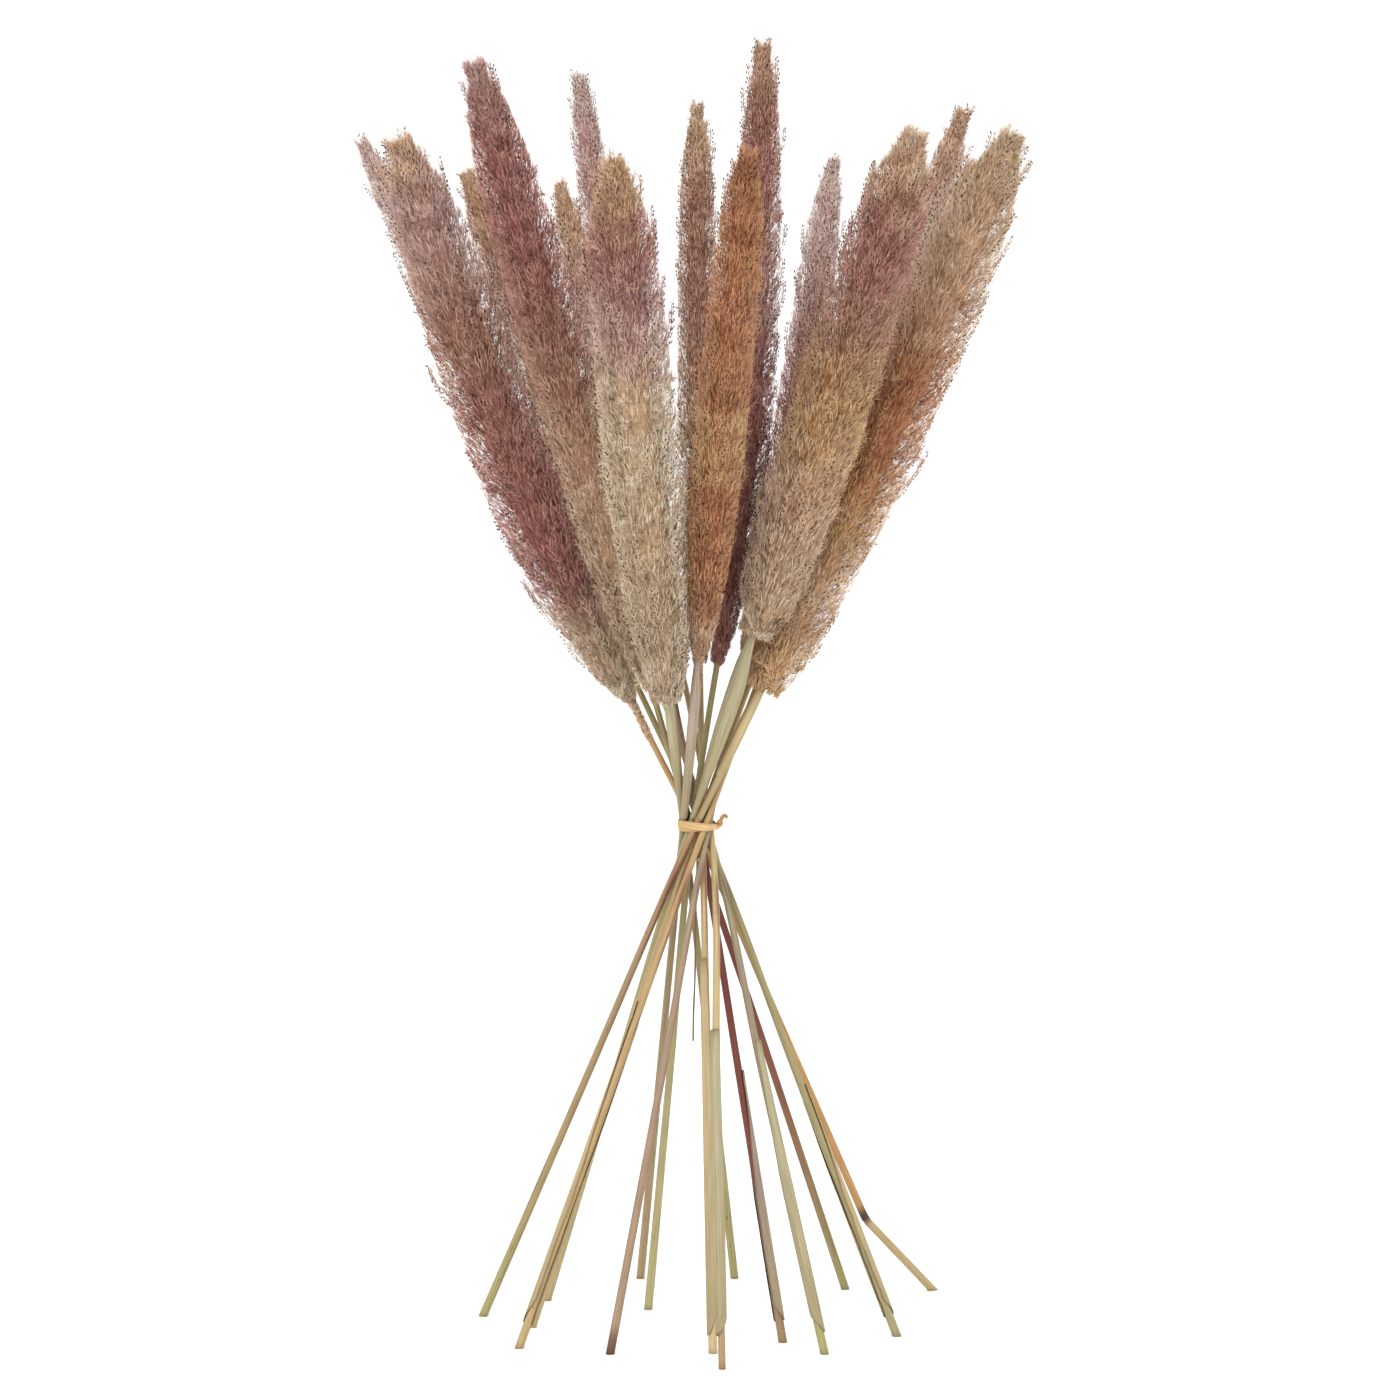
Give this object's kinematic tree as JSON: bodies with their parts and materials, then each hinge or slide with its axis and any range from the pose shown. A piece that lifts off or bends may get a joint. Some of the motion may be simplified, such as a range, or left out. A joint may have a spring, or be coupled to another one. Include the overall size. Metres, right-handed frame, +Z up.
{
  "type": "bundle of dried pampas grass",
  "caption": "Spiral-tied sheaf of dried pampas grass: long splayed stems held at the waist by a raffia tie, with tall feathery plumes above; stands on its cut ends.",
  "frame": {"origin": "on the ground, under the middle of the bundle's box", "axes": "+Z up from the cut ends to the plume tips, +X to the right and -Y towards the viewer, who sees the knot of the tie at the right"},
  "size_m": [0.3924, 0.3268, 0.744],
  "materials": {
    "culm_green": "satin",
    "culm_mauve": "satin",
    "culm_straw": "satin",
    "plume_cream": "matte",
    "plume_mauve": "matte",
    "plume_plum": "matte",
    "plume_rust": "matte",
    "plume_tan": "matte",
    "raffia": "matte",
    "sheath_green": "satin",
    "sheath_mauve": "satin",
    "sheath_straw": "satin"
  },
  "bodies": {
    "root": {"plume_01": "plume_tan", "plume_02": "plume_mauve", "plume_03": "plume_tan", "plume_04": "plume_tan", "plume_05": "plume_mauve", "plume_06": "plume_rust", "plume_07": "plume_plum", "plume_08": "plume_tan", "plume_09": "plume_mauve", "plume_10": "plume_cream", "plume_11": "plume_tan", "plume_12": "plume_tan", "plume_13": "plume_plum", "plume_14": "plume_mauve", "plume_15": "plume_plum", "sheath_01": "sheath_straw", "sheath_02": "sheath_straw", "sheath_04": "sheath_green", "sheath_06": "sheath_mauve", "sheath_08": "sheath_straw", "sheath_09": "sheath_green", "sheath_10": "sheath_green", "sheath_11": "sheath_mauve", "sheath_12": "sheath_green", "sheath_14": "sheath_straw", "stem_01": "culm_straw", "stem_02": "culm_straw", "stem_03": "culm_straw", "stem_04": "culm_green", "stem_05": "culm_mauve", "stem_06": "culm_mauve", "stem_07": "culm_green", "stem_08": "culm_straw", "stem_09": "culm_straw", "stem_10": "culm_green", "stem_11": "culm_mauve", "stem_12": "culm_green", "stem_13": "culm_green", "stem_14": "culm_straw", "stem_15": "culm_straw", "tie_band": "raffia", "tie_end": "raffia", "tie_knot": "raffia", "tie_tail": "raffia"}
  },
  "joints": []
}
